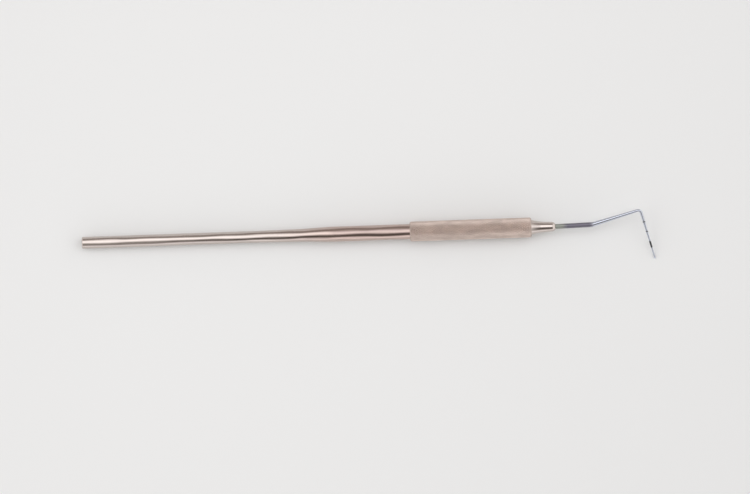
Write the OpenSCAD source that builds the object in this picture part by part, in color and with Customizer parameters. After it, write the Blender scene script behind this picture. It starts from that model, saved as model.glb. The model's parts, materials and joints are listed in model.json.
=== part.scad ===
// Ball-ended graduated dental explorer: a hollow swaged handle with a knurled grip,
// a turned nose and a bent, tapered wire tip that ends in a 0.5 mm ball.
// Millimetres. The explorer lies at rest on z = 0 with the tip towards +X:
// it touches at the butt, at the rear of the grip and at the ball.

/* [Handle tube] */
// Length of the handle tube, from the butt to the front of the grip
handle_len = 126.6; // [106:0.1:155]
// Outer diameter of the slim tail
tail_d = 3.3; // [2.8:0.05:3.6]
// Length of the parallel part of the tail
tail_len = 48; // [30:0.5:60]
// Diameter at the knee between the slow taper and the flare
knee_d = 3.55; // [3.3:0.05:3.9]
// Distance of the knee from the butt
knee_x = 62.5; // [55:0.5:66]
// Outer diameter of the parallel front, up to the grip
front_d = 4.25; // [3.9:0.05:4.8]
// Distance of the end of the flare from the butt
flare_x = 71; // [68:0.5:80]
// Length of each soft bend between the tail, the tapers and the front
taper_blend = 3; // [1:0.5:5]
// Wall of the tube
tube_wall = 0.4; // [0.3:0.05:0.6]
// How far the tube is turned down for the grip, which leaves a shoulder behind the grip
seat_step = 0.18; // [0.1:0.02:0.2]
// Rounding of the tube's rim at the butt
rim_r = 0.3; // [0.1:0.05:0.35]

/* [Butt plug] */
// Length of the plug that closes the tail
plug_len = 5; // [3:0.5:10]
// Chamfer of the plug's visible face
plug_chamfer = 0.2; // [0.05:0.05:0.4]

/* [Knurled grip] */
// Diameter over the points of the knurl
grip_d = 5.6; // [5.3:0.05:6.8]
// Length of the grip
grip_len = 34.2; // [24:0.1:41]
// Width of one diamond, around the grip
knurl_width = 0.55; // [0.5:0.01:0.8]
// Helix angle of the knurl's grooves
knurl_angle = 30; // [28:1:45]
// Depth of the knurl's grooves
knurl_depth = 0.16; // [0.05:0.01:0.25]
// Chamfer at both ends of the grip
grip_chamfer = 0.32; // [0.2:0.01:0.4]

/* [Nose] */
// How far the shoulder that bears on the tube and the grip stands out past the spigot
nose_shoulder = 0.385; // [0.25:0.005:0.6]
// Length of the nose that shows in front of the grip
nose_len = 6.8; // [5:0.1:10]
// Diameter at the front of the nose
nose_tip_d = 2.7; // [2.4:0.05:3.2]
// Diameter where the hollow curve runs into the slim part of the nose
nose_waist_d = 2.9; // [2.75:0.05:3.4]
// Length of the hollow curve behind the slim part of the nose
nose_sweep_len = 3.8; // [2:0.1:4.5]
// Radius of the nose's rounded front, which may be larger than the rim round the wire
nose_round = 1.25; // [0.2:0.05:1.3]
// Length of the spigot that is pressed into the tube
spigot_len = 6; // [3:0.5:10]
// Chamfer at the inner end of the spigot
spigot_chamfer = 0.3; // [0.1:0.05:0.6]

/* [Wire] */
// Diameter of the wire at the nose
wire_d = 1.35; // [1:0.05:1.5]
// Length of the tang inside the nose
tang_len = 10; // [5:0.5:12]
// Length of the first run, from the nose to the first bend
lead_len = 10.4; // [7:0.1:15]
// Rise of the first run from the handle's axis, in degrees
lead_rise = 1.2; // [0:0.1:3]
// Length of the second run, from the first bend to the apex
shank_len = 14.1; // [10:0.1:20]
// Rise of the second run from the handle's axis, in degrees
shank_rise = 16.2; // [8:0.1:30]
// Diameter at the apex
apex_d = 0.8; // [0.6:0.05:1]
// Radius of the slight bend at the nose, at the middle of the wire
lead_bend_r = 6; // [3:0.5:12]
// Radius of the first bend, at the middle of the wire
shank_bend_r = 3; // [1.5:0.1:6]
// Radius of the bend at the apex, at the middle of the wire
apex_bend_r = 0.9; // [0.7:0.05:2]

/* [Tip] */
// Length of the tip, from the apex to the end of the ball
tip_len = 15.2; // [13.6:0.1:18]
// Fall of the tip from the handle's axis, in degrees
tip_fall = 75.1; // [60:0.1:85]
// Diameter behind the ball
neck_d = 0.4; // [0.35:0.01:0.45]
// Diameter of the ball
ball_d = 0.5; // [0.48:0.01:0.7]

/* [Graduations] */
// Distances of the black band's two edges from the end of the ball
band_marks = [3.5, 5.5];
// Distances of the two ring marks from the end of the ball
ring_marks = [8.5, 11.5];
// Width of a ring mark
ring_w = 0.3; // [0.2:0.05:0.5]
// Depth of the marks' grooves
mark_depth = 0.04; // [0.02:0.01:0.06]

/* [Fits] */
// Gap all round between pieces that are pressed or brazed together
press_gap = 0.01; // [0.005:0.005:0.03]
// Gap between a mark's filling and its groove
fill_gap = 0.005; // [0.002:0.001:0.01]

/* [Hidden] */
$fn = 64;

steel = [0.80, 0.77, 0.74];
satin = [0.66, 0.62, 0.58];
wire_steel = [0.80, 0.82, 0.86];
black = [0.08, 0.08, 0.09];

// Handle
tail_r = tail_d / 2;
knee_r = knee_d / 2;
front_r = front_d / 2;
front_bore_r = front_r - tube_wall;
seat_r = front_r - seat_step;
tail_bore_r = tail_r - tube_wall;
grip_x = handle_len - grip_len;

// Knurl: a lattice whose points are by turns a crest and the foot of the grooves
grip_r = grip_d / 2;
grip_bore_r = seat_r + press_gap;
knurl_count = round(PI * grip_d / knurl_width);
knurl_rows = round(grip_len / (PI * grip_d / knurl_count / 2 / tan(knurl_angle)));
knurl_row = grip_len / knurl_rows;

// Wire, in its own plane: x along the handle's axis, y towards the apex
wire_r = wire_d / 2;
apex_r = apex_d / 2;
neck_r = neck_d / 2;
ball_r = ball_d / 2;
nose_end_x = handle_len + nose_len;
apex_turn = shank_rise + tip_fall;
bend_at = [nose_end_x, 0] + lead_len * heading(lead_rise);
apex_at = bend_at + shank_len * heading(shank_rise);
ball_at = apex_at + (tip_len - ball_r) * heading(-tip_fall);
// How far a straight length of wire reaches into a bend, and how much thicker the bend is
let_in = 0.03;
bend_swell = 0.004;
// Length of the straight that a bend's arc takes up on each side of its corner
mouth_take = lead_bend_r * tan(lead_rise / 2);
bend_take = shank_bend_r * tan((shank_rise - lead_rise) / 2);
apex_take = apex_bend_r * tan(apex_turn / 2);
// Straight part of the tip, measured from the end of the ball
tip_straight = tip_len - apex_take;

// Rest: the pitch lifts the axis from the butt to the grip, or to what else it meets first,
// and the roll lowers the ball to z = 0
rests = [[grip_x + knurl_row, grip_r], [flare_x, front_r], [knee_x, knee_r]];
rest_pitch = atan(max([for (rest = rests) (rest[1] - tail_r) / (rest[0] - rim_r)]));
butt_z = tail_r * cos(rest_pitch) - rim_r * sin(rest_pitch);
ball_drop = (butt_z + ball_at[0] * sin(rest_pitch) - ball_r) / cos(rest_pitch);
rest_roll = asin(ball_drop / -ball_at[1]);
// Middle of the space that the explorer takes up, along X and Y
butt_end_x = -(tail_r - rim_r) * sin(rest_pitch);
ball_end_x = ball_at[0] * cos(rest_pitch) + ball_drop * sin(rest_pitch) + ball_r;
apex_top = apex_at[1] - apex_take * sin(shank_rise) + apex_bend_r * (1 - cos(shank_rise));
apex_y = apex_top * cos(rest_roll) + apex_r;
ball_y = ball_at[1] * cos(rest_roll) - ball_r;
middle = [(butt_end_x + ball_end_x) / 2, (ball_y + apex_y) / 2];

function heading(angle) = [cos(angle), sin(angle)];
function arc(centre, r, from, to, steps) =
    [for (step = [0 : steps]) centre + r * heading(from + (to - from) * step / steps)];
// Soft bend of a given length in place of an outline's corner
function soft_bend(before, corner, after, length, steps = 6) =
    let (from = corner + length / 2 * (before - corner) / norm(before - corner),
         to = corner + length / 2 * (after - corner) / norm(after - corner))
    [for (step = [0 : steps])
        let (t = step / steps) from * pow(1 - t, 2) + corner * 2 * t * (1 - t) + to * t * t];
// Radius of the tip at a distance from the end of the ball
function tip_r(s) = neck_r + (apex_r - neck_r) * (s - ball_r) / (tip_straight - ball_r);
function ring_edges(mark) = [mark - ring_w / 2, mark + ring_w / 2];

// Lays a piece that was made along the handle's axis, butt at x = 0, in its place at rest
module lay() {
    translate([-middle[0], -middle[1], butt_z])
        rotate([rest_roll, -rest_pitch, 0])
            children();
}

// Turns an outline of [distance along the axis, radius] points round the handle's axis
module turned(outline) {
    rotate([0, 90, 0])
        rotate_extrude()
            polygon([for (point = outline) [point[1], point[0]]]);
}

// Tube with a parallel tail, a slow taper to the knee, a flare, a parallel front and the grip's seat
module handle_tube() {
    shoulder_x = grip_x - press_gap;
    // The tapers, outside or at the bore, between a parallel tail and a parallel front
    function tapers(wall) =
        let (tail = [tail_len + taper_blend / 2, tail_r - wall],
             knee = [knee_x, knee_r - wall],
             flare = [flare_x - taper_blend / 2, front_r - wall])
        [each soft_bend([0, tail[1]], tail, knee, taper_blend),
         each soft_bend(tail, knee, flare, taper_blend),
         each soft_bend(knee, flare, [handle_len, flare[1]], taper_blend)];
    outside = [
        [0, 0],
        each arc([rim_r, tail_r - rim_r], rim_r, 180, 90, 6),
        each tapers(0),
        [shoulder_x, front_r], [shoulder_x, seat_r], [handle_len, seat_r], [handle_len, 0]
    ];
    inside = [
        [-1, 0], [-1, tail_bore_r],
        each tapers(tube_wall),
        [handle_len + 1, front_bore_r], [handle_len + 1, 0]
    ];
    color(steel)
        lay()
            difference() {
                turned(outside);
                turned(inside);
            }
}

module butt_plug() {
    plug_r = tail_bore_r - press_gap;
    color(steel)
        lay()
            turned([
                [0, 0], [0, plug_r - plug_chamfer], [plug_chamfer, plug_r],
                [plug_len - plug_chamfer, plug_r], [plug_len, plug_r - plug_chamfer], [plug_len, 0]
            ]);
}

// Bar whose side is a lattice of points, by turns a crest and the foot of two crossing grooves
module knurled_bar() {
    columns = 2 * knurl_count;
    points = [
        for (row = [0 : knurl_rows], column = [0 : columns - 1])
            let (at_end = row == 0 || row == knurl_rows,
                 at_foot = (row + column) % 2 == 1,
                 r = at_end ? grip_r - grip_chamfer : at_foot ? grip_r - knurl_depth : grip_r)
            [row * knurl_row, each r * heading(360 * column / columns)]
    ];
    function at(row, column) = row * columns + column % columns;
    faces = [
        [for (column = [0 : columns - 1]) at(0, column)],
        for (row = [0 : knurl_rows - 1], column = [0 : columns - 1])
            let (a = at(row, column), b = at(row, column + 1),
                 c = at(row + 1, column + 1), d = at(row + 1, column))
            each (row + column) % 2 == 0 ? [[a, d, b], [b, d, c]] : [[a, c, b], [a, d, c]],
        [for (column = [columns - 1 : -1 : 0]) at(knurl_rows, column)]
    ];
    polyhedron(points, faces, convexity = 4);
}

module grip_sleeve() {
    color(satin)
        lay()
            translate([grip_x, 0, 0])
                difference() {
                    knurled_bar();
                    turned([[-1, 0], [-1, grip_bore_r], [grip_len + 1, grip_bore_r], [grip_len + 1, 0]]);
                }
}

// Turned nose: a spigot in the tube, a shoulder against it, a hollow sweep and a slim front
module nose_cone() {
    spigot_r = front_bore_r - press_gap;
    hole_r = wire_r + press_gap;
    sweep_x = handle_len + nose_sweep_len;
    // The rounded front ends at the hole, or at a flat rim round it if its radius is small
    front_centre_r = nose_tip_d / 2 - nose_round;
    front_angle = asin(max(0, (hole_r - front_centre_r) / nose_round));
    front_x = nose_end_x - nose_round * cos(front_angle);
    taper = atan((nose_waist_d - nose_tip_d) / 2 / (front_x - sweep_x));
    // The sweep is an arc through the shoulder's rim that runs into the slim front
    rim = [handle_len + press_gap, spigot_r + nose_shoulder];
    waist = [sweep_x, nose_waist_d / 2];
    outward = heading(90 - taper);
    sweep_r = -((waist - rim) * (waist - rim)) / (2 * (waist - rim) * outward);
    sweep_centre = waist + sweep_r * outward;
    rim_angle = atan2(rim[1] - sweep_centre[1], rim[0] - sweep_centre[0]);
    color(steel)
        lay()
            difference() {
                turned([
                    [handle_len - spigot_len, 0],
                    [handle_len - spigot_len, spigot_r - spigot_chamfer],
                    [handle_len - spigot_len + spigot_chamfer, spigot_r],
                    [rim[0], spigot_r],
                    each arc(sweep_centre, sweep_r, rim_angle, -90 - taper, 8),
                    each arc([front_x, front_centre_r], nose_round, 90 - taper, front_angle, 8),
                    [nose_end_x, 0]
                ]);
                turned([
                    [handle_len - spigot_len - 1, 0], [handle_len - spigot_len - 1, hole_r],
                    [nose_end_x + 1, hole_r], [nose_end_x + 1, 0]
                ]);
            }
}

// Straight or tapered length of wire that leaves a point at an angle, with both ends let into the bends
module wire_run(from, angle, length, r1, r2) {
    translate([from[0], from[1], 0])
        rotate([0, 90, angle])
            translate([0, 0, -let_in])
                cylinder(r1 = r1, r2 = r2, h = length + 2 * let_in);
}

// Bend of the wire at a corner, from one angle to the next, a hair thicker than the runs that end in it
module wire_bend(corner, from, to, bend_r, r) {
    side = sign(to - from);
    start = corner - bend_r * tan(abs(to - from) / 2) * heading(from);
    centre = start + bend_r * heading(from + 90 * side);
    translate([centre[0], centre[1], 0])
        rotate([0, 0, min(from, to) - 90 * side])
            rotate_extrude(angle = abs(to - from))
                translate([bend_r, 0])
                    circle(r = r + bend_swell);
}

// Straight tip with its ball, made along X from the end of the ball, with a groove for each mark
module tip() {
    marks = [band_marks, for (mark = ring_marks) ring_edges(mark)];
    turned([
        [ball_r, 0], [ball_r, neck_r],
        for (mark = marks)
            each [[mark[0], tip_r(mark[0])], [mark[0], tip_r(mark[0]) - mark_depth],
                  [mark[1], tip_r(mark[1]) - mark_depth], [mark[1], tip_r(mark[1])]],
        [tip_straight, apex_r], [tip_straight + let_in, apex_r], [tip_straight + let_in, 0]
    ]);
    translate([ball_r, 0, 0])
        sphere(r = ball_r);
}

// Puts what is made along X from the end of the ball in its place on the tip
module on_tip() {
    end = ball_at + ball_r * heading(-tip_fall);
    translate([end[0], end[1], 0])
        rotate([0, 0, 180 - tip_fall])
            children();
}

module probe_wire() {
    color(wire_steel)
        lay() {
            wire_run([nose_end_x - tang_len, 0], 0, tang_len - mouth_take, wire_r, wire_r);
            wire_bend([nose_end_x, 0], 0, lead_rise, lead_bend_r, wire_r);
            wire_run([nose_end_x, 0] + mouth_take * heading(lead_rise), lead_rise,
                     lead_len - mouth_take - bend_take, wire_r, wire_r);
            wire_bend(bend_at, lead_rise, shank_rise, shank_bend_r, wire_r);
            wire_run(bend_at + bend_take * heading(shank_rise), shank_rise,
                     shank_len - bend_take - apex_take, wire_r, apex_r);
            wire_bend(apex_at, shank_rise, -tip_fall, apex_bend_r, apex_r);
            on_tip()
                tip();
        }
}

// Black filling of one groove, flush with the tip
module mark_fill(edges) {
    from = edges[0] + fill_gap;
    to = edges[1] - fill_gap;
    sunk = mark_depth - fill_gap;
    color(black)
        lay()
            on_tip()
                turned([
                    [from, tip_r(from) - sunk], [from, tip_r(from)],
                    [to, tip_r(to)], [to, tip_r(to) - sunk]
                ]);
}

module black_band() { mark_fill(band_marks); }
module lower_ring() { mark_fill(ring_edges(ring_marks[0])); }
module upper_ring() { mark_fill(ring_edges(ring_marks[1])); }

handle_tube();
butt_plug();
grip_sleeve();
nose_cone();
probe_wire();
black_band();
lower_ring();
upper_ring();
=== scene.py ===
"""Looks of a ball-ended dental explorer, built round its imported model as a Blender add-on.

Every piece is modelled in millimetres along the handle's own axis, with the butt at x = 0 and the
bent wire in the plane z = 0, and is then laid in its place at rest, in metres.
"""

import json
import math

import bmesh
import bpy
from bpy.props import FloatProperty, FloatVectorProperty, IntProperty, PointerProperty
from mathutils import Matrix, Vector


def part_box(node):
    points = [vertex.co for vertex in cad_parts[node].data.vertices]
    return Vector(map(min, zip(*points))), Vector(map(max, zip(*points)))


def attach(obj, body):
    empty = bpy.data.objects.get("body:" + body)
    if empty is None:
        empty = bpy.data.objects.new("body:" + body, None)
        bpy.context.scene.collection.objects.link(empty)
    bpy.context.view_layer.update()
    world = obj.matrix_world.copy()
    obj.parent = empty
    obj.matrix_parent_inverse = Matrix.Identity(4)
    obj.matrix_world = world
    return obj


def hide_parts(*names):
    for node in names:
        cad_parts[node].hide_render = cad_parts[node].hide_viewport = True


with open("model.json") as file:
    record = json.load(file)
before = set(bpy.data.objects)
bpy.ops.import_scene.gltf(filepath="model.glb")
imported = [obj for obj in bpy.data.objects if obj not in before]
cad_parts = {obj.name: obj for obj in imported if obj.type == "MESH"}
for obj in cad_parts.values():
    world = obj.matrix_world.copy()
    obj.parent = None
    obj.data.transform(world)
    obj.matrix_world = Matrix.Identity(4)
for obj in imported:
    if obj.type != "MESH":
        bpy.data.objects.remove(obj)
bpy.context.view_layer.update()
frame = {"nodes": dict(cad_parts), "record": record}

bl_info = {
    "name": "Dental Explorer",
    "version": (1, 0, 0),
    "blender": (4, 5, 0),
    "location": "View3D > Sidebar > Explorer",
    "description": "Models the pieces, finishes and studio of a ball-ended dental explorer",
    "category": "Object",
}

MM = 0.001
BODY = "root"
GAP = 0.01          # all round between pieces that are pressed or brazed together
FILL_GAP = 0.005    # between a mark's filling and its groove
NEAR = 0.01         # closer than this is in the same place
HALF_DIAMOND = 0.7  # flank and height of the half diamonds at the grip's ends, by a whole one's

# How finely round shapes are divided
SIDES = 96          # of a turned piece
WIRE_SIDES = 40
RIM_STEPS = 6
BLEND_STEPS = 8     # of a soft bend between two tapers of the tube
SWEEP_STEPS = 14
ROUNDING_STEPS = 10
BEND_STEPS = 6
APEX_STEPS = 14
BALL_STEPS = 14
SMOOTH_UP_TO = math.radians(30)     # a sharper edge than this is shaded sharp


# Where the explorer lies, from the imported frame

def mount(name):
    return next(entry for entry in frame["record"]["mounts"] if entry["name"] == name)


def middle_of(node):
    low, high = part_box(node)
    return (low + high) / 2


def rest_matrix():
    """Takes a point from the bench, in millimetres along the handle, to its place at rest."""
    tail = mount("tail")
    along = -Vector(tail["axis"]).normalized()
    on_axis = Vector(tail["pos_m"])
    tube = frame["nodes"]["handle_tube"].data.vertices
    butt = on_axis + along * min((point.co - on_axis).dot(along) for point in tube)
    tip = middle_of("black_band") - middle_of("upper_ring")
    up = -(tip - tip.dot(along) * along).normalized()
    turned = Matrix((along, up, along.cross(up))).transposed().to_4x4()
    return Matrix.Translation(butt) @ turned @ Matrix.Scale(MM, 4)


REST = rest_matrix()
TO_BENCH = REST.inverted()


def reach(node):
    """Ends of a node along the handle and its greatest radius, in millimetres."""
    points = [TO_BENCH @ point.co for point in frame["nodes"][node].data.vertices]
    return (
        min(point.x for point in points),
        max(point.x for point in points),
        max(math.hypot(point.y, point.z) for point in points),
    )


TUBE_END = reach("handle_tube")[1]
GRIP_START, GRIP_END, GRIP_RADIUS = reach("grip_sleeve")
NOSE_START, NOSE_END, _ = reach("nose_cone")
PLUG_LENGTH = reach("butt_plug")[1]
TANG_START = reach("probe_wire")[0]
TAIL_RADIUS = mount("tail")["dims"]["r_mm"]
FRONT_RADIUS = mount("front_barrel")["dims"]["r_mm"]
TAIL_END = (TO_BENCH @ Vector(mount("tail")["pos_m"])).x + mount("tail")["dims"]["length_mm"] / 2
FLARE_END = GRIP_START - mount("front_barrel")["dims"]["length_mm"]


# Sizes and colours that a user would change

def length(name, description, default):
    """A length in the panel, from a default in millimetres."""
    return FloatProperty(name=name, description=description, default=default * MM,
                         min=0, precision=5, subtype="DISTANCE", unit="LENGTH")


def angle(name, description, default):
    return FloatProperty(name=name, description=description, default=math.radians(default),
                         subtype="ANGLE", unit="ROTATION")


def share(name, description, default):
    return FloatProperty(name=name, description=description, default=default,
                         min=0, max=1, subtype="FACTOR")


def colour(name, description, default):
    return FloatVectorProperty(name=name, description=description, default=default,
                               size=3, min=0, max=1, subtype="COLOR")


class ExplorerHandleSizes(bpy.types.PropertyGroup):
    knee_diameter: length("Knee", "Diameter between the slow taper and the flare", 3.55)
    knee_distance: length("Knee place", "Distance of the knee from the butt", 62.5)
    blend: length("Blend", "Length of each soft bend between the tube's tapers", 3)
    wall: length("Wall", "Wall of the tube", 0.4)
    seat_step: length("Seat", "Depth that the tube is turned down for the grip", 0.18)
    rim: length("Rim", "Rounding of the tube's rim at the butt", 0.3)
    plug_chamfer: length("Plug chamfer", "Chamfer of the butt plug's face", 0.2)
    knurl_count: IntProperty(name="Diamonds", description="Diamonds round the grip",
                             default=32, min=8, max=SIDES // 2)
    knurl_length: length("Diamond", "Length of one diamond, along the grip", 0.95)
    knurl_depth: length("Knurl depth", "Depth of the knurl's grooves", 0.16)
    knurl_flank: length("Knurl flank", "Width of a diamond's sloping flank", 0.17)
    grip_chamfer: length("Grip chamfer", "Chamfer at both ends of the grip", 0.32)
    nose_shoulder: length("Nose shoulder", "How far it stands out past the spigot", 0.385)
    nose_sweep: length("Nose sweep", "Length of the nose's hollow curve", 3.8)
    nose_waist: length("Nose waist", "Diameter where the curve meets the slim front", 2.9)
    nose_front: length("Nose front", "Diameter at the front of the nose", 2.7)
    nose_round: length("Nose rounding", "Radius of the nose's rounded front", 1.25)


class ExplorerWireSizes(bpy.types.PropertyGroup):
    diameter: length("Wire", "Diameter of the wire at the nose", 1.35)
    apex_diameter: length("Apex", "Diameter at the apex", 0.8)
    neck_diameter: length("Neck", "Diameter behind the ball", 0.4)
    ball_diameter: length("Ball", "Diameter of the ball", 0.5)
    lead_length: length("First run", "Length from the nose to the first bend", 10.4)
    shank_length: length("Second run", "Length from the first bend to the apex", 14.1)
    tip_length: length("Tip", "Length from the apex to the end of the ball", 15.2)
    lead_rise: angle("First rise", "Rise of the first run from the handle's axis", 1.2)
    shank_rise: angle("Second rise", "Rise of the second run from the handle's axis", 16.2)
    tip_fall: angle("Tip's fall", "Fall of the tip from the handle's axis", 75.1)
    lead_bend: length("Nose bend", "Radius of the slight bend at the nose", 6)
    shank_bend: length("First bend", "Radius of the first bend", 3)
    apex_bend: length("Apex bend", "Radius of the bend at the apex", 0.9)
    band_from: length("Band from", "Black band's near edge, from the ball's end", 3.5)
    band_to: length("Band to", "Black band's far edge, from the ball's end", 5.5)
    lower_ring: length("Lower ring", "Middle of the lower ring, from the ball's end", 8.5)
    upper_ring: length("Upper ring", "Middle of the upper ring, from the ball's end", 11.5)
    ring_width: length("Ring width", "Width of a ring mark", 0.3)
    mark_depth: length("Mark depth", "Depth of the marks' grooves", 0.04)


class ExplorerFinishes(bpy.types.PropertyGroup):
    steel: colour("Polished steel", "Tail, plug and nose", (0.60, 0.53, 0.49))
    warm_steel: colour("Warm steel", "Front of the tube", (0.56, 0.44, 0.395))
    knurl: colour("Knurled steel", "Grip, halfway up its diamonds", (0.62, 0.515, 0.46))
    wire: colour("Wire steel", "Hardened wire", (0.58, 0.61, 0.68))
    # These two colours are heat tints darkened with painted shade, which stands for the first run
    # catching less light than the bent run
    straw_tint_and_shade: colour("Straw tint", "Wire beside the brazed nose", (0.33, 0.345, 0.31))
    purple_tint_and_shade: colour("Purple tint", "Rest of the first run", (0.21, 0.20, 0.24))
    mark: colour("Marks", "Black filling of the marks", (0.012, 0.012, 0.016))
    steel_roughness: share("Steel roughness", "Roughness of the polished steel", 0.16)
    knurl_roughness: share("Knurl roughness", "Roughness of the knurled steel", 0.48)
    wire_roughness: share("Wire roughness", "Roughness of the wire", 0.16)
    tint_roughness: share("Tint roughness", "Roughness that the heat tints add", 0.3)


class ExplorerStudio(bpy.types.PropertyGroup):
    floor: colour("Floor", "Colour of the floor", (0.82, 0.82, 0.81))
    lens: FloatProperty(name="Lens", description="Focal length in millimetres", default=250)
    distance: FloatProperty(name="Distance", description="Camera above the explorer",
                            default=1.4658, subtype="DISTANCE", unit="LENGTH")
    turn: angle("Turn", "Turn of the picture, which tilts the handle in it", 1.97)


GROUPS = {
    "explorer_handle": ExplorerHandleSizes,
    "explorer_wire": ExplorerWireSizes,
    "explorer_finish": ExplorerFinishes,
    "explorer_studio": ExplorerStudio,
}


def mm(value):
    return value / MM


# Modelling on the bench

def begin():
    """Leaves edit mode and deselects everything."""
    if bpy.context.object and bpy.context.object.mode != "OBJECT":
        bpy.ops.object.mode_set(mode="OBJECT")
    bpy.ops.object.select_all(action="DESELECT")


def start_ring(name, x, radius, sides, fill="NOTHING"):
    """Starts a piece as a ring round the handle's axis, selected in edit mode."""
    begin()
    bpy.ops.mesh.primitive_circle_add(vertices=sides, radius=radius, fill_type=fill,
                                      location=(x, 0, 0), rotation=(0, math.pi / 2, 0))
    piece = bpy.context.object
    piece.name = name
    piece.data.name = name
    bpy.ops.object.transform_apply(location=True, rotation=True, scale=True)
    bpy.ops.object.mode_set(mode="EDIT")
    bpy.ops.mesh.select_all(action="SELECT")
    return piece


def extrude_ring(step, middle, grow):
    """Extrudes the selected ring by a step, then scales it about its new middle."""
    bpy.ops.mesh.extrude_region_move(TRANSFORM_OT_translate={"value": step})
    bpy.ops.transform.resize(value=(grow, grow, grow), center_override=middle)


def turn_on(outline):
    """Turns the selected ring on along an outline of (place on the axis, radius) points."""
    for (x, radius), (next_x, next_radius) in zip(outline, outline[1:]):
        extrude_ring((next_x - x, 0, 0), (next_x, 0, 0), next_radius / radius)


def turn(name, outline):
    """Turns a solid piece from an outline that ends at two flat faces."""
    piece = start_ring(name, *outline[0], SIDES, fill="NGON")
    turn_on(outline)
    return piece


def join_ends():
    """Closes a piece by bridging its two open edges."""
    bpy.ops.mesh.select_all(action="DESELECT")
    bpy.ops.mesh.select_non_manifold()
    bpy.ops.mesh.bridge_edge_loops()


def turn_hollow(name, outline, sides=SIDES):
    """Turns a hollow piece from an outline that goes right round its wall."""
    piece = start_ring(name, *outline[0], sides)
    turn_on(outline)
    join_ends()
    return piece


def arc(middle, radius, start, end, steps):
    """Points on an arc, from one angle to another in degrees."""
    angles = [math.radians(start + (end - start) * step / steps) for step in range(steps + 1)]
    return [(middle[0] + radius * math.cos(a), middle[1] + radius * math.sin(a)) for a in angles]


def blended(before, corner, after, half):
    """Points on a soft bend that replaces a corner of an outline."""
    before, corner, after = Vector(before), Vector(corner), Vector(after)
    start = corner + (before - corner).normalized() * half
    end = corner + (after - corner).normalized() * half
    shares = [step / BLEND_STEPS for step in range(BLEND_STEPS + 1)]
    return [tuple(start * (1 - t) ** 2 + corner * 2 * t * (1 - t) + end * t * t) for t in shares]


def finish_piece(piece, node, material, place=Matrix.Identity(4)):
    """Lays a modelled piece in its place at rest and lets it stand for its node."""
    bpy.ops.object.mode_set(mode="EDIT")
    bpy.ops.mesh.select_all(action="SELECT")
    bpy.ops.mesh.normals_make_consistent(inside=False)
    bpy.ops.object.mode_set(mode="OBJECT")
    piece.matrix_world = REST @ place
    bpy.ops.object.transform_apply(location=True, rotation=True, scale=True)
    bpy.ops.object.shade_smooth_by_angle(angle=SMOOTH_UP_TO)
    piece.data.materials.append(material)
    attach(piece, BODY)
    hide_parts(node)


# Finishes

NOISE_MIDDLE = (0.35, 0.65)             # most of a noise's values lie between these
MIX_A, MIX_B, MIX_RESULT = 6, 7, 2      # colour sockets of a Mix node

# Repeats of the patterns, in one millimetre along the handle and across it
LONG_LINES = (0.03, 5, 5)
SMUDGES = (0.12, 0.5, 0.5)
SLOW_WAVES = (0.07, 0.22, 0.22)
GRIP_PATCHES = (0.35, 0.6, 0.6)
WIRE_LINES = (0.6, 9, 9)

# Repeats of the patterns that are alike both ways
TOOL_RINGS = 9.0
GRIP_GRAIN = 14.0
TINT_CLOUDS = 0.9
FILLING_WEAR = 6.0

# Depths of the patterns in the surfaces, in millimetres
WAVE_DEPTH = 0.55
LINE_SHARE = 0.003      # depth of the tube's long lines, by the waves'
RING_DEPTH = 0.0015
GRAIN_DEPTH = 0.004
WIRE_LINE_DEPTH = 0.001
FILLING_DEPTH = 0.003

WARMING = (TAIL_END, FLARE_END + 5)     # where the tube turns from plain to warm steel
HANDLED = 0.93                          # colour of smudged steel, by that of clean steel
# Colours of the knurl's grooves and crests: the grooves darkened with painted shade, the crests
# lightened by wear
SHADED_GROOVE_AND_WORN_CREST = (0.78, 1.12)         # colours of the knurl, by its plain one
ROUGH_GROOVE_AND_CREST = (1.15, 0.85)   # roughness of the knurl, by its plain one
PATCH_SHADE = 0.3                       # how much a patch shades the knurl, either way
STRAW_FADE = (1.5, 3.5)                 # where the straw tint ends, past the nose
# The purple tint's end is also where the painted shade on the first run ends
PURPLE_TINT_AND_SHADE_FADE = (-1.0, 0.8)               # where the purple tint ends, past the first bend
TINT_WANDER = 1                         # how far the tints' edges wander, either way
WORN_MARK = (0.05, 0.05, 0.055)         # colour of the filling where it has worn
MARK_WEAR = (0.55, 0.75)                # values of the wear over which the filling greys
MARK_ROUGHNESS = (0.38, 0.55)


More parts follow.
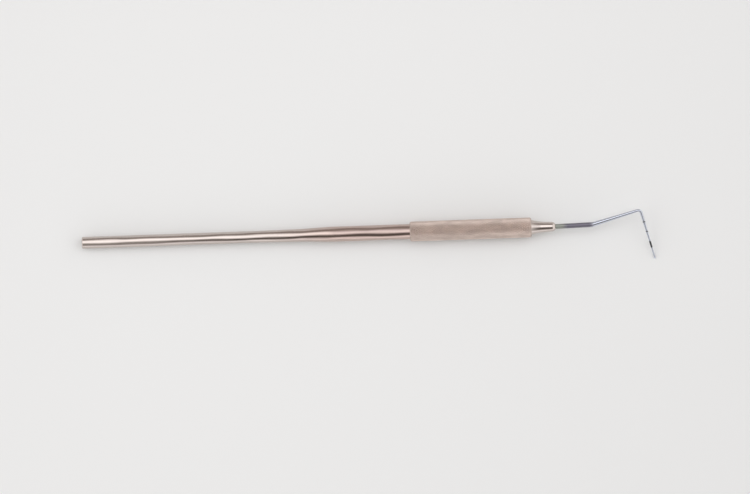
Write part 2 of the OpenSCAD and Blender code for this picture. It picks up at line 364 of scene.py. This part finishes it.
class Nodes:
    """Short ways to add to a node tree."""

    def __init__(self, tree):
        self.tree = tree

    def fill_in(self, node, values):
        for name, value in values.items():
            node.inputs[name].default_value = value

    def add(self, kind, inputs=None, **settings):
        node = self.tree.nodes.new(kind)
        for name, value in settings.items():
            setattr(node, name, value)
        self.fill_in(node, inputs or {})
        return node

    def link(self, output, target):
        self.tree.links.new(output, target)

    def split(self, vector):
        node = self.add("ShaderNodeSeparateXYZ")
        self.link(vector, node.inputs["Vector"])
        return node.outputs

    def noise(self, vector, scale=1.0, detail=2.0):
        node = self.add("ShaderNodeTexNoise", inputs={"Scale": scale, "Detail": detail})
        self.link(vector, node.inputs["Vector"])
        return node.outputs["Fac"]

    def remap(self, value, start, end, low, high, smooth=False):
        node = self.add("ShaderNodeMapRange", inputs={
            "From Min": start, "From Max": end, "To Min": low, "To Max": high},
            interpolation_type="SMOOTHSTEP" if smooth else "LINEAR")
        self.link(value, node.inputs["Value"])
        return node.outputs["Result"]

    def spread(self, noise, low, high):
        """Stretches the middle of a noise to run from a low value to a high one."""
        return self.remap(noise, *NOISE_MIDDLE, low, high)

    def fade(self, along, place, span):
        """One before a place and nothing past it, with a soft step over a span beside it."""
        start, end = span
        return self.remap(along, place + start, place + end, 1, 0, smooth=True)

    def calculate(self, operation, first, second=None):
        node = self.add("ShaderNodeMath", operation=operation)
        for value, socket in zip((first, second), node.inputs):
            if isinstance(value, bpy.types.NodeSocket):
                self.link(value, socket)
            elif value is not None:
                socket.default_value = value
        return node.outputs["Value"]

    def mix(self, share_value, first, second):
        node = self.add("ShaderNodeMix", data_type="RGBA")
        self.link(share_value, node.inputs["Factor"])
        for value, socket in ((first, node.inputs[MIX_A]), (second, node.inputs[MIX_B])):
            if isinstance(value, bpy.types.NodeSocket):
                self.link(value, socket)
            else:
                socket.default_value = (*value, 1)
        return node.outputs[MIX_RESULT]


class Finish(Nodes):
    """A material with one shader."""

    def __init__(self, name, colour_value, roughness, metallic=1.0):
        self.material = bpy.data.materials.new(name)
        self.material.use_nodes = True
        super().__init__(self.material.node_tree)
        self.shader = self.tree.nodes["Principled BSDF"]
        self.fill_in(self.shader, {
            "Base Color": (*colour_value, 1), "Metallic": metallic, "Roughness": roughness})

    def bench(self, scale=(1, 1, 1)):
        """Coordinates in millimetres along the handle's axis, then scaled."""
        place = self.add("ShaderNodeTexCoord")
        to_bench = self.add("ShaderNodeMapping", vector_type="TEXTURE", inputs={
            "Location": REST.translation, "Rotation": REST.to_euler(), "Scale": (MM, MM, MM)})
        self.link(place.outputs["Object"], to_bench.inputs["Vector"])
        scaled = self.add("ShaderNodeMapping", inputs={"Scale": scale})
        self.link(to_bench.outputs["Vector"], scaled.inputs["Vector"])
        return scaled.outputs["Vector"]

    def radius(self, vector):
        """Distance from the handle's axis, from coordinates on the bench."""
        across = self.add("ShaderNodeVectorMath", operation="MULTIPLY")
        self.link(vector, across.inputs[0])
        across.inputs[1].default_value = (0, 1, 1)
        size = self.add("ShaderNodeVectorMath", operation="LENGTH")
        self.link(across.outputs["Vector"], size.inputs[0])
        return size.outputs["Value"]

    def bump(self, height, depth):
        """Raises the surface over a pattern, by a depth in millimetres at the most."""
        node = self.add("ShaderNodeBump", inputs={"Strength": 1.0, "Distance": depth * MM})
        self.link(height, node.inputs["Height"])
        self.link(node.outputs["Normal"], self.shader.inputs["Normal"])

    def use(self, value, socket):
        self.link(value, self.shader.inputs[socket])

    def rough_over(self, noise, roughness, least, most):
        """A roughness that varies over a noise, between two shares of its plain value."""
        return self.spread(noise, roughness * least, roughness * most)


def shaded(colour_value, factor):
    """A colour made darker, or lighter by a factor over one."""
    return tuple(channel * factor for channel in colour_value)


def polished_steel(finish):
    """Drawn tube, polished lengthwise: faint long lines, soft smudges, warmer in the front."""
    made = Finish("Tube_steel", finish.steel, finish.steel_roughness)
    lines = made.noise(made.bench(LONG_LINES), detail=3)
    smudges = made.noise(made.bench(SMUDGES), detail=2)
    waves = made.noise(made.bench(SLOW_WAVES), detail=1)
    wear = made.calculate("MULTIPLY", made.calculate("ADD", lines, smudges), 0.5)
    made.use(made.rough_over(wear, finish.steel_roughness, least=0.75, most=1.35), "Roughness")
    warmth = made.remap(made.split(made.bench())["X"], *WARMING, 0, 1, smooth=True)
    clean = made.mix(warmth, finish.steel, finish.warm_steel)
    handled = made.mix(warmth, shaded(finish.steel, HANDLED), shaded(finish.warm_steel, HANDLED))
    made.use(made.mix(made.spread(smudges, 0, 1), handled, clean), "Base Color")
    surface = made.calculate("ADD", made.calculate("MULTIPLY", lines, LINE_SHARE), waves)
    made.bump(surface, WAVE_DEPTH)
    return made.material


def turned_steel(finish, name):
    """Turned steel of the nose or the plug, with fine rings left by the tool."""
    made = Finish(name, finish.steel, finish.steel_roughness)
    bench = made.bench()
    across = made.add("ShaderNodeCombineXYZ")
    made.link(made.split(bench)["X"], across.inputs["X"])
    made.link(made.radius(bench), across.inputs["Y"])
    rings = made.noise(across.outputs["Vector"], TOOL_RINGS, detail=3)
    made.use(made.rough_over(rings, finish.steel_roughness, least=0.6, most=1), "Roughness")
    made.bump(rings, RING_DEPTH)
    return made.material


def knurled_steel(finish, foot, crest):
    """Satin crests worn bright, with painted shade darkening the steel down in the grooves."""
    made = Finish("Grip_steel", finish.knurl, finish.knurl_roughness)
    bench = made.bench()
    # Height up the diamonds, which carries the painted shade in the grooves and the wear on the
    # crests
    height = made.remap(made.radius(bench), foot, crest, 0, 1)
    patches = made.noise(made.bench(GRIP_PATCHES), detail=3)
    shade = made.calculate("ADD", height, made.spread(patches, -PATCH_SHADE, PATCH_SHADE))
    # Painted shade: the colour darkens towards the grooves' foot and lightens on the worn crests
    shaded_groove_and_worn_crest = [shaded(finish.knurl, factor) for factor in SHADED_GROOVE_AND_WORN_CREST]
    made.use(made.mix(made.remap(shade, 0, 1, 0, 1), *shaded_groove_and_worn_crest), "Base Color")
    roughnesses = [finish.knurl_roughness * factor for factor in ROUGH_GROOVE_AND_CREST]
    made.use(made.remap(shade, 0, 1, *roughnesses), "Roughness")
    made.bump(made.noise(bench, GRIP_GRAIN, detail=3), GRAIN_DEPTH)
    return made.material


def wire_steel(finish):
    """Hardened wire: bright and cool past the first bend; before it, heat tints with painted shade
    that darkens the whole first run.
    """
    made = Finish("Wire_steel", finish.wire, finish.wire_roughness)
    bench = made.bench()
    lines = made.noise(made.bench(WIRE_LINES), detail=2)
    cloud = made.noise(bench, TINT_CLOUDS, detail=2)
    wander = made.remap(cloud, 0, 1, -TINT_WANDER, TINT_WANDER)
    along = made.calculate("ADD", made.split(bench)["X"], wander)
    bend = NOSE_END + mm(bpy.context.scene.explorer_wire.lead_length)
    straw = made.fade(along, NOSE_END, STRAW_FADE)
    # Painted shade: this mask darkens the whole first run, up to the first bend, along with its heat
    # tints
    tint = made.fade(along, bend, PURPLE_TINT_AND_SHADE_FADE)
    tinted_and_shaded = made.mix(straw, finish.purple_tint_and_shade, finish.straw_tint_and_shade)
    made.use(made.mix(tint, finish.wire, tinted_and_shaded), "Base Color")
    bare = made.rough_over(lines, finish.wire_roughness, least=0.8, most=1.3)
    dulled = made.calculate("MULTIPLY", tint, finish.tint_roughness)
    made.use(made.calculate("ADD", bare, dulled), "Roughness")
    made.bump(lines, WIRE_LINE_DEPTH)
    return made.material


def black_filling(finish):
    """Satin black filling, a little uneven and grey where it has worn."""
    made = Finish("Black_filling", finish.mark, min(MARK_ROUGHNESS), metallic=0.0)
    wear = made.noise(made.bench(), FILLING_WEAR, detail=3)
    made.use(made.mix(made.remap(wear, *MARK_WEAR, 0, 1), finish.mark, WORN_MARK), "Base Color")
    made.use(made.spread(wear, *MARK_ROUGHNESS), "Roughness")
    made.bump(wear, FILLING_DEPTH)
    return made.material


# Pieces

class PieceOperator(bpy.types.Operator):
    """Builds one piece or a group of like pieces."""
    bl_options = {"REGISTER", "UNDO"}

    @property
    def sizes(self):
        return bpy.context.scene.explorer_handle

    @property
    def wire(self):
        return bpy.context.scene.explorer_wire

    @property
    def finish(self):
        return bpy.context.scene.explorer_finish


class EXPLORER_OT_handle_tube(PieceOperator):
    """Turns the hollow handle tube, from its slim tail to the seat under the grip"""
    bl_idname = "explorer.handle_tube"
    bl_label = "Handle tube"

    def execute(self, context):
        sizes = self.sizes
        wall, rim = mm(sizes.wall), mm(sizes.rim)
        shoulder = GRIP_START - GAP
        seat_radius = FRONT_RADIUS - mm(sizes.seat_step)
        tube = turn_hollow("Handle_tube", [
            *arc((rim, TAIL_RADIUS - rim), rim, 180, 90, RIM_STEPS),
            *self.tapers(0),
            (shoulder, FRONT_RADIUS),
            (shoulder, seat_radius),
            (TUBE_END, seat_radius),
            (TUBE_END, FRONT_RADIUS - wall),
            *reversed(self.tapers(wall)),
            (0, TAIL_RADIUS - wall),
        ])
        finish_piece(tube, "handle_tube", polished_steel(self.finish))
        return {"FINISHED"}

    def tapers(self, wall):
        """Outline between the parallel tail and front, outside or, a wall further in, at the bore."""
        sizes = self.sizes
        half = mm(sizes.blend) / 2
        tail = (TAIL_END + half, TAIL_RADIUS - wall)
        knee = (mm(sizes.knee_distance), mm(sizes.knee_diameter) / 2 - wall)
        flare = (FLARE_END - half, FRONT_RADIUS - wall)
        return [
            *blended((0, tail[1]), tail, knee, half),
            *blended(tail, knee, flare, half),
            *blended(knee, flare, (GRIP_START, flare[1]), half),
        ]


class EXPLORER_OT_butt_plug(PieceOperator):
    """Turns the plug that closes the tail"""
    bl_idname = "explorer.butt_plug"
    bl_label = "Butt plug"

    def execute(self, context):
        sizes = self.sizes
        radius = TAIL_RADIUS - mm(sizes.wall) - GAP
        chamfer = mm(sizes.plug_chamfer)
        plug = turn("Butt_plug", [
            (0, radius - chamfer), (chamfer, radius),
            (PLUG_LENGTH - chamfer, radius), (PLUG_LENGTH, radius - chamfer),
        ])
        finish_piece(plug, "butt_plug", turned_steel(self.finish, "Plug_steel"))
        return {"FINISHED"}


class EXPLORER_OT_grip(PieceOperator):
    """Knurls the grip: a lattice of raised diamonds between two chamfered ends"""
    bl_idname = "explorer.grip"
    bl_label = "Knurled grip"

    def execute(self, context):
        sizes = self.sizes
        count = sizes.knurl_count
        depth = mm(sizes.knurl_depth)
        foot = GRIP_RADIUS - depth
        end_radius = GRIP_RADIUS - mm(sizes.grip_chamfer)
        lip = foot - end_radius
        start, end = GRIP_START + lip, GRIP_END - lip
        rows = round((end - start) / mm(sizes.knurl_length))
        grip = start_ring("Grip_sleeve", start, foot, count)
        turn_on([(start + (end - start) * row / rows, foot) for row in range(rows + 1)])
        self.make_diamonds(foot, count)
        self.raise_diamonds(mm(sizes.knurl_flank), depth)
        # The open edges are divided, to make the ends and the bore rounder than the lattice
        self.select_parts("EDGE", lambda edge: edge.is_boundary)
        bpy.ops.mesh.subdivide(number_cuts=SIDES // count - 1)
        self.select_ring(start)
        turn_on([(start, foot), (GRIP_START, end_radius)])
        bpy.ops.transform.tosphere(value=1)
        bore = FRONT_RADIUS - mm(sizes.seat_step) + GAP
        turn_on([(GRIP_START, end_radius), (GRIP_START, bore),
                 (GRIP_END, bore), (GRIP_END, end_radius)])
        join_ends()
        finish_piece(grip, "grip_sleeve",
                     knurled_steel(self.finish, foot, GRIP_RADIUS))
        return {"FINISHED"}

    def make_diamonds(self, foot, count):
        """Pokes a grid's faces and dissolves its edges, which leaves diamonds."""
        sagitta = foot * (1 - math.cos(math.pi / count))
        bpy.ops.mesh.select_all(action="SELECT")
        bpy.ops.mesh.normals_make_consistent(inside=False)
        bpy.ops.mesh.mark_seam(clear=False)
        bpy.ops.mesh.poke(offset=sagitta)
        self.select_parts("EDGE", lambda edge: edge.seam and not edge.is_boundary)
        bpy.ops.mesh.dissolve_edges(use_verts=False, use_face_split=False)
        bpy.ops.mesh.select_all(action="SELECT")
        bpy.ops.mesh.mark_seam(clear=True)

    def raise_diamonds(self, flank, depth):
        """Raises every diamond on sloping flanks, and the halves at the ends less high."""
        for corners, part in ((4, 1), (3, HALF_DIAMOND)):
            self.select_parts("FACE", lambda face: len(face.verts) == corners)
            bpy.ops.mesh.inset(thickness=flank * part, depth=depth * part, use_individual=True,
                               use_even_offset=True)

    def select_parts(self, kind, wanted):
        """Selects the edges or the faces that are wanted, and nothing else."""
        bpy.ops.mesh.select_mode(type=kind)
        bpy.ops.mesh.select_all(action="DESELECT")
        mesh = bmesh.from_edit_mesh(bpy.context.object.data)
        for part in (mesh.edges if kind == "EDGE" else mesh.faces):
            if wanted(part):
                part.select_set(True)
        bmesh.update_edit_mesh(bpy.context.object.data)

    def select_ring(self, x):
        """Selects the open edge that lies at a place on the axis."""
        self.select_parts("EDGE", lambda edge: edge.is_boundary
                          and all(abs(point.co.x - x) < NEAR for point in edge.verts))


class EXPLORER_OT_nose(PieceOperator):
    """Turns the nose: a shoulder, a hollow sweep and a slim rounded front"""
    bl_idname = "explorer.nose"
    bl_label = "Nose"

    def execute(self, context):
        sizes = self.sizes
        spigot = FRONT_RADIUS - mm(sizes.wall) - GAP
        hole = mm(self.wire.diameter) / 2 + GAP
        waist = Vector((TUBE_END + mm(sizes.nose_sweep), mm(sizes.nose_waist) / 2))
        # The rounded front ends at the hole, or at a flat rim round it if its radius is small
        front, rounding = mm(sizes.nose_front) / 2, mm(sizes.nose_round)
        front_angle = math.asin(max(0, (hole - front + rounding) / rounding))
        front_middle = (NOSE_END - rounding * math.cos(front_angle), front - rounding)
        taper = math.atan((waist.y - front) / (front_middle[0] - waist.x))
        # The sweep is an arc from the shoulder's rim that runs into the slim front
        rim = Vector((TUBE_END + GAP, spigot + mm(sizes.nose_shoulder)))
        outward = Vector((math.sin(taper), math.cos(taper)))
        chord = waist - rim
        sweep = -chord.length_squared / (2 * chord.dot(outward))
        middle = waist + sweep * outward
        rim_angle = math.degrees(math.atan2(rim.y - middle.y, rim.x - middle.x))
        taper = math.degrees(taper)
        nose = turn_hollow("Nose_cone", [
            (NOSE_START, hole),
            (NOSE_START, spigot),
            (rim.x, spigot),
            *arc(middle, sweep, rim_angle, -90 - taper, SWEEP_STEPS),
            *arc(front_middle, rounding, 90 - taper, math.degrees(front_angle), ROUNDING_STEPS),
            *([] if front_angle else [(NOSE_END, hole)]),
        ])
        finish_piece(nose, "nose_cone", turned_steel(self.finish, "Nose_steel"))
        return {"FINISHED"}


def heading(angle_value):
    return Vector((math.cos(angle_value), math.sin(angle_value), 0))


class WirePath:
    """The corners, angles and lengths of the bent wire, in millimetres on the bench."""

    def __init__(self, wire):
        self.mouth = Vector((NOSE_END, 0, 0))
        self.first_bend = self.mouth + mm(wire.lead_length) * heading(wire.lead_rise)
        self.apex = self.first_bend + mm(wire.shank_length) * heading(wire.shank_rise)
        self.tip_angle = -wire.tip_fall
        self.tip_end = self.apex + mm(wire.tip_length) * heading(self.tip_angle)
        self.wire_radius = mm(wire.diameter) / 2
        self.apex_radius = mm(wire.apex_diameter) / 2
        self.neck_radius = mm(wire.neck_diameter) / 2
        self.ball_radius = mm(wire.ball_diameter) / 2
        apex_turn = wire.shank_rise + wire.tip_fall
        self.tip_straight = mm(wire.tip_length) - mm(wire.apex_bend) * math.tan(apex_turn / 2)

    def tip_radius(self, distance):
        """Radius of the tip at a distance from the end of the ball."""
        share_value = (distance - self.ball_radius) / (self.tip_straight - self.ball_radius)
        return self.neck_radius + (self.apex_radius - self.neck_radius) * share_value

    def on_tip(self, distance):
        return self.tip_end - distance * heading(self.tip_angle)

    def tip_place(self):
        """Turns what was made along the axis from the ball's end to lie along the tip."""
        return (Matrix.Translation(self.tip_end)
                @ Matrix.Rotation(math.pi + self.tip_angle, 4, "Z"))


def mark_edges(wire):
    """Both edges of each mark, in millimetres from the end of the ball, nearest first."""
    half = mm(wire.ring_width) / 2
    rings = [mm(wire.lower_ring), mm(wire.upper_ring)]
    return [(mm(wire.band_from), mm(wire.band_to))] + [(at - half, at + half) for at in rings]


class EXPLORER_OT_wire(PieceOperator):
    """Draws the wire out of the nose, bends it, tapers it and rounds its ball"""
    bl_idname = "explorer.wire"
    bl_label = "Wire"

    def execute(self, context):
        wire = self.wire
        path = WirePath(wire)
        piece = start_ring("Probe_wire", TANG_START, path.wire_radius, WIRE_SIDES, fill="NGON")
        self.at = Vector((TANG_START, 0, 0))
        self.radius = path.wire_radius
        self.bend(path.mouth, 0, wire.lead_rise, mm(wire.lead_bend))
        self.bend(path.first_bend, wire.lead_rise, wire.shank_rise, mm(wire.shank_bend))
        self.bend(path.apex, wire.shank_rise, -wire.tip_fall, mm(wire.apex_bend),
                  path.apex_radius, APEX_STEPS)
        self.draw_tip(path, mark_edges(wire), mm(wire.mark_depth))
        finish_piece(piece, "probe_wire", wire_steel(self.finish))
        return {"FINISHED"}

    def run_to(self, point, radius):
        """Extrudes the wire straight to a point, where it has that radius."""
        extrude_ring(point - self.at, point, radius / self.radius)
        self.at, self.radius = point, radius

    def bend(self, corner, before, after, bend_radius, radius=None, steps=BEND_STEPS):
        """Runs the wire up to a corner and spins it round to its next heading."""
        turn_angle = after - before
        side = math.copysign(1, turn_angle)
        take = bend_radius * math.tan(abs(turn_angle) / 2)
        self.run_to(corner - take * heading(before), radius or self.radius)
        middle = self.at + bend_radius * heading(before + side * math.pi / 2)
        bpy.ops.mesh.spin(steps=steps, angle=-turn_angle, center=middle, axis=(0, 0, 1))
        self.at = corner + take * heading(after)

    def draw_tip(self, path, marks, depth):
        """Draws the tip out to its ball, with a groove for each mark."""
        for near, far in reversed(marks):
            for distance, sunk in ((far, 0), (far, depth), (near, depth), (near, 0)):
                self.run_to(path.on_tip(distance), path.tip_radius(distance) - sunk)
        ball, neck = path.ball_radius, path.neck_radius
        neck_angle = math.asin(neck / ball)
        for step in range(BALL_STEPS):
            turned = neck_angle + (math.pi - neck_angle) * step / BALL_STEPS
            self.run_to(path.on_tip(ball + ball * math.cos(turned)), ball * math.sin(turned))
        self.run_to(path.on_tip(0), self.radius)
        bpy.ops.mesh.merge(type="CENTER")


class EXPLORER_OT_marks(PieceOperator):
    """Fills the grooves of the tip with the black band and the two rings"""
    bl_idname = "explorer.marks"
    bl_label = "Depth marks"

    def execute(self, context):
        path = WirePath(self.wire)
        sunk = mm(self.wire.mark_depth) - FILL_GAP
        material = black_filling(self.finish)
        names = ("black_band", "lower_ring", "upper_ring")
        for name, (near, far) in zip(names, mark_edges(self.wire)):
            near, far = near + FILL_GAP, far - FILL_GAP
            inner, outer = path.tip_radius(near), path.tip_radius(far)
            ring = turn_hollow(name.capitalize(), [
                (near, inner - sunk), (near, inner), (far, outer), (far, outer - sunk),
            ], WIRE_SIDES)
            finish_piece(ring, name, material, path.tip_place())
        return {"FINISHED"}


# Studio

AIM = (0.00171, -0.00108, 0.003)    # point that the camera looks straight down at

# Brightness of the light tent round the handle, at angles from straight up, towards +Y
TENT = (
    (-90, 1.3), (-78, 1.15), (-64, 0.65), (-50, 0.25), (-38, 0.1), (-18, 0.16), (-4, 0.8),
    (10, 1.42), (26, 1.25), (44, 0.55), (62, 0.3), (84, 0.5), (90, 0.55),
)
TENT_TOP = 2.0                      # brightest that a band of the tent may be
TENT_END = 1.28                     # brightness of the tent's two ends
END_BLEND = (0.25, 0.8)             # how far a ray points along X where the ends take over
BRIGHT_TINT = (1, 1, 1.03)          # tint of the tent's bright bands
DARK_TINT = (1.1, 0.98, 0.9)        # and of its dark ones, the more the darker they are

FLOOR_RADIUS = 4
FLOOR_SIDES = 64
FLOOR_ROUGHNESS = 0.85
SENSOR = 36                         # width in millimetres
NEAREST = 0.01                      # distance at which the camera begins to see, in metres

# Soft panels inside the tent, in metres and degrees: place along the handle, angle from straight
# up towards +Y, distance from the handle, size along and across it, and brightness
PANELS = {
    "Key": {"over": -0.085, "lean": 14, "distance": 0.22, "size": (0.12, 0.28), "level": 0.45},
    "Butt_fill": {"over": -0.115, "lean": -27, "distance": 0.2, "size": (0.09, 0.15), "level": 0.25},
    "Wire_key": {"over": 0.06, "lean": 18, "distance": 0.2, "size": (0.085, 0.16), "level": 0.5},
    "Front_fill": {"over": -0.004, "lean": -66, "distance": 0.4, "size": (0.07, 0.17), "level": 0.45},
}


def hang_panel(name, over, lean, distance, size, level):
    """A soft panel of a given brightness that faces the handle's axis from one side."""
    panel = bpy.data.lights.new(name, "AREA")
    panel.shape = "RECTANGLE"
    panel.size, panel.size_y = size
    panel.energy = level * math.pi * panel.size * panel.size_y
    lamp = bpy.data.objects.new(name, panel)
    bpy.context.scene.collection.objects.link(lamp)
    lean = math.radians(lean)
    lamp.location = (over, distance * math.sin(lean), distance * math.cos(lean))
    lamp.rotation_euler = (-lean, 0, 0)
    lamp.visible_camera = False


class EXPLORER_OT_studio(bpy.types.Operator):
    """Lays the floor and sets the soft light and the camera"""
    bl_idname = "explorer.studio"
    bl_label = "Studio"

    def execute(self, context):
        studio = context.scene.explorer_studio
        self.lay_floor(studio)
        self.light_sky(context.scene)
        for name, panel in PANELS.items():
            hang_panel(name, **panel)
        self.set_camera(context.scene, studio)
        context.scene.view_settings.view_transform = "Standard"
        return {"FINISHED"}

    def lay_floor(self, studio):
        begin()
        bpy.ops.mesh.primitive_circle_add(vertices=FLOOR_SIDES, radius=FLOOR_RADIUS,
                                          fill_type="NGON")
        floor = bpy.context.object
        floor.name = "Floor"
        made = Finish("Floor", studio.floor, FLOOR_ROUGHNESS, metallic=0.0)
        floor.data.materials.append(made.material)

    def light_sky(self, scene):
        """A light tent whose bands run along the handle, from one side to the other."""
        world = bpy.data.worlds.new("Light_tent")
        scene.world = world
        world.use_nodes = True
        made = Nodes(world.node_tree)
        place = made.add("ShaderNodeTexCoord")
        way = made.split(place.outputs["Generated"])
        lean = made.calculate("ARCTAN2", way["Y"], way["Z"])
        ramp = made.add("ShaderNodeValToRGB")
        ramp.color_ramp.interpolation = "EASE"
        stops = ramp.color_ramp.elements
        while len(stops) < len(TENT):
            stops.new(0.5)
        for stop, (degrees, level) in zip(stops, TENT):
            stop.position = (degrees + 90) / 180
            tint = Vector(BRIGHT_TINT).lerp(Vector(DARK_TINT), 1 - min(1, level))
            stop.color = (*shaded(tint, level / TENT_TOP), 1)
        quarter = math.pi / 2
        made.link(made.remap(lean, -quarter, quarter, 0, 1), ramp.inputs["Fac"])
        along = made.calculate("ABSOLUTE", way["X"])
        at_end = made.remap(along, *END_BLEND, 0, 1, smooth=True)
        level = TENT_END / TENT_TOP
        light = made.mix(at_end, ramp.outputs["Color"], (level, level, level))
        sky = world.node_tree.nodes["Background"]
        made.link(light, sky.inputs["Color"])
        sky.inputs["Strength"].default_value = TENT_TOP

    def set_camera(self, scene, studio):
        lens = bpy.data.cameras.new("Camera")
        lens.lens = studio.lens
        lens.sensor_width = SENSOR
        lens.clip_start = NEAREST
        camera = bpy.data.objects.new("Camera", lens)
        scene.collection.objects.link(camera)
        camera.location = Vector(AIM) + Vector((0, 0, studio.distance))
        camera.rotation_euler = (0, 0, -studio.turn)
        scene.camera = camera


class EXPLORER_PT_panel(bpy.types.Panel):
    """Lists the explorer's builders and sizes in the 3D view's sidebar"""
    bl_idname = "EXPLORER_PT_panel"
    bl_label = "Dental Explorer"
    bl_space_type = "VIEW_3D"
    bl_region_type = "UI"
    bl_category = "Explorer"

    def draw(self, context):
        for operator in OPERATORS:
            self.layout.operator(operator.bl_idname)
        for name, group in GROUPS.items():
            box = self.layout.box()
            for key in group.__annotations__:
                box.prop(getattr(context.scene, name), key)


OPERATORS = (
    EXPLORER_OT_handle_tube,
    EXPLORER_OT_butt_plug,
    EXPLORER_OT_grip,
    EXPLORER_OT_nose,
    EXPLORER_OT_wire,
    EXPLORER_OT_marks,
    EXPLORER_OT_studio,
)


def register():
    for group in GROUPS.values():
        bpy.utils.register_class(group)
    for name, group in GROUPS.items():
        setattr(bpy.types.Scene, name, PointerProperty(type=group))
    for shown in (*OPERATORS, EXPLORER_PT_panel):
        bpy.utils.register_class(shown)


def unregister():
    for shown in (EXPLORER_PT_panel, *reversed(OPERATORS)):
        bpy.utils.unregister_class(shown)
    for name, group in GROUPS.items():
        delattr(bpy.types.Scene, name)
        bpy.utils.unregister_class(group)


def main():
    register()
    bpy.ops.explorer.handle_tube()
    bpy.ops.explorer.butt_plug()
    bpy.ops.explorer.grip()
    bpy.ops.explorer.nose()
    bpy.ops.explorer.wire()
    bpy.ops.explorer.marks()
    bpy.ops.explorer.studio()


if __name__ == "__main__":
    main()
